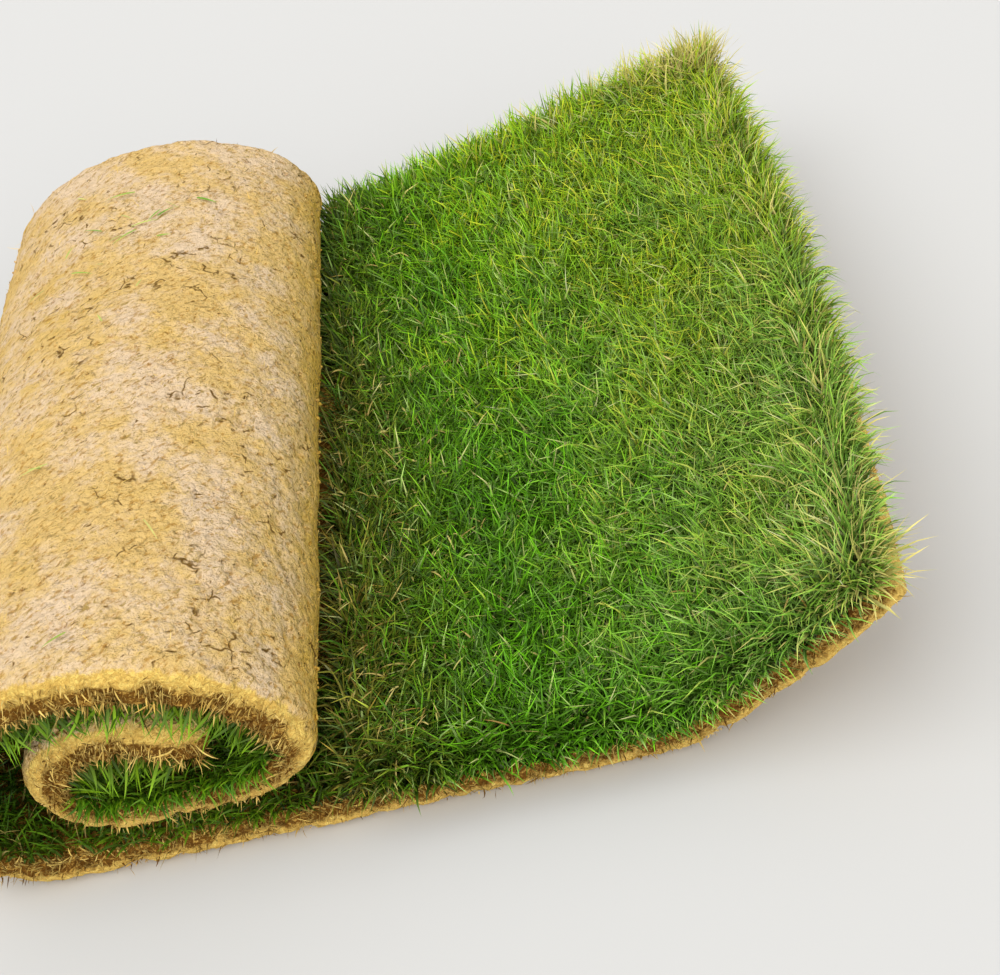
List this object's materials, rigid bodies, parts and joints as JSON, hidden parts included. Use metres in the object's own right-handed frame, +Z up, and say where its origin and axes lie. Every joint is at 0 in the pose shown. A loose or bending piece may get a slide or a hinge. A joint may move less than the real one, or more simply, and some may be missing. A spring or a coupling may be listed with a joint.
{
  "type": "roll of turf",
  "caption": "Strip of cut lawn turf, loosely rolled soil side out, with its free end laid out flat and lifting at the cut.",
  "frame": {"origin": "on the floor, under the middle of the whole strip as it lies", "axes": "+X along the laid-out end and away from the roll, +Y along the roll towards its far end, +Z up"},
  "size_m": [0.4184, 0.4, 0.121],
  "materials": {
    "soil": "matt, crumbly, dried light loam with fibrous thatch on its inner face",
    "grass": "dense upright blades, satin green with straw tips"
  },
  "bodies": {
    "root": {"soil_mat": "soil", "grass": "grass"}
  },
  "joints": []
}
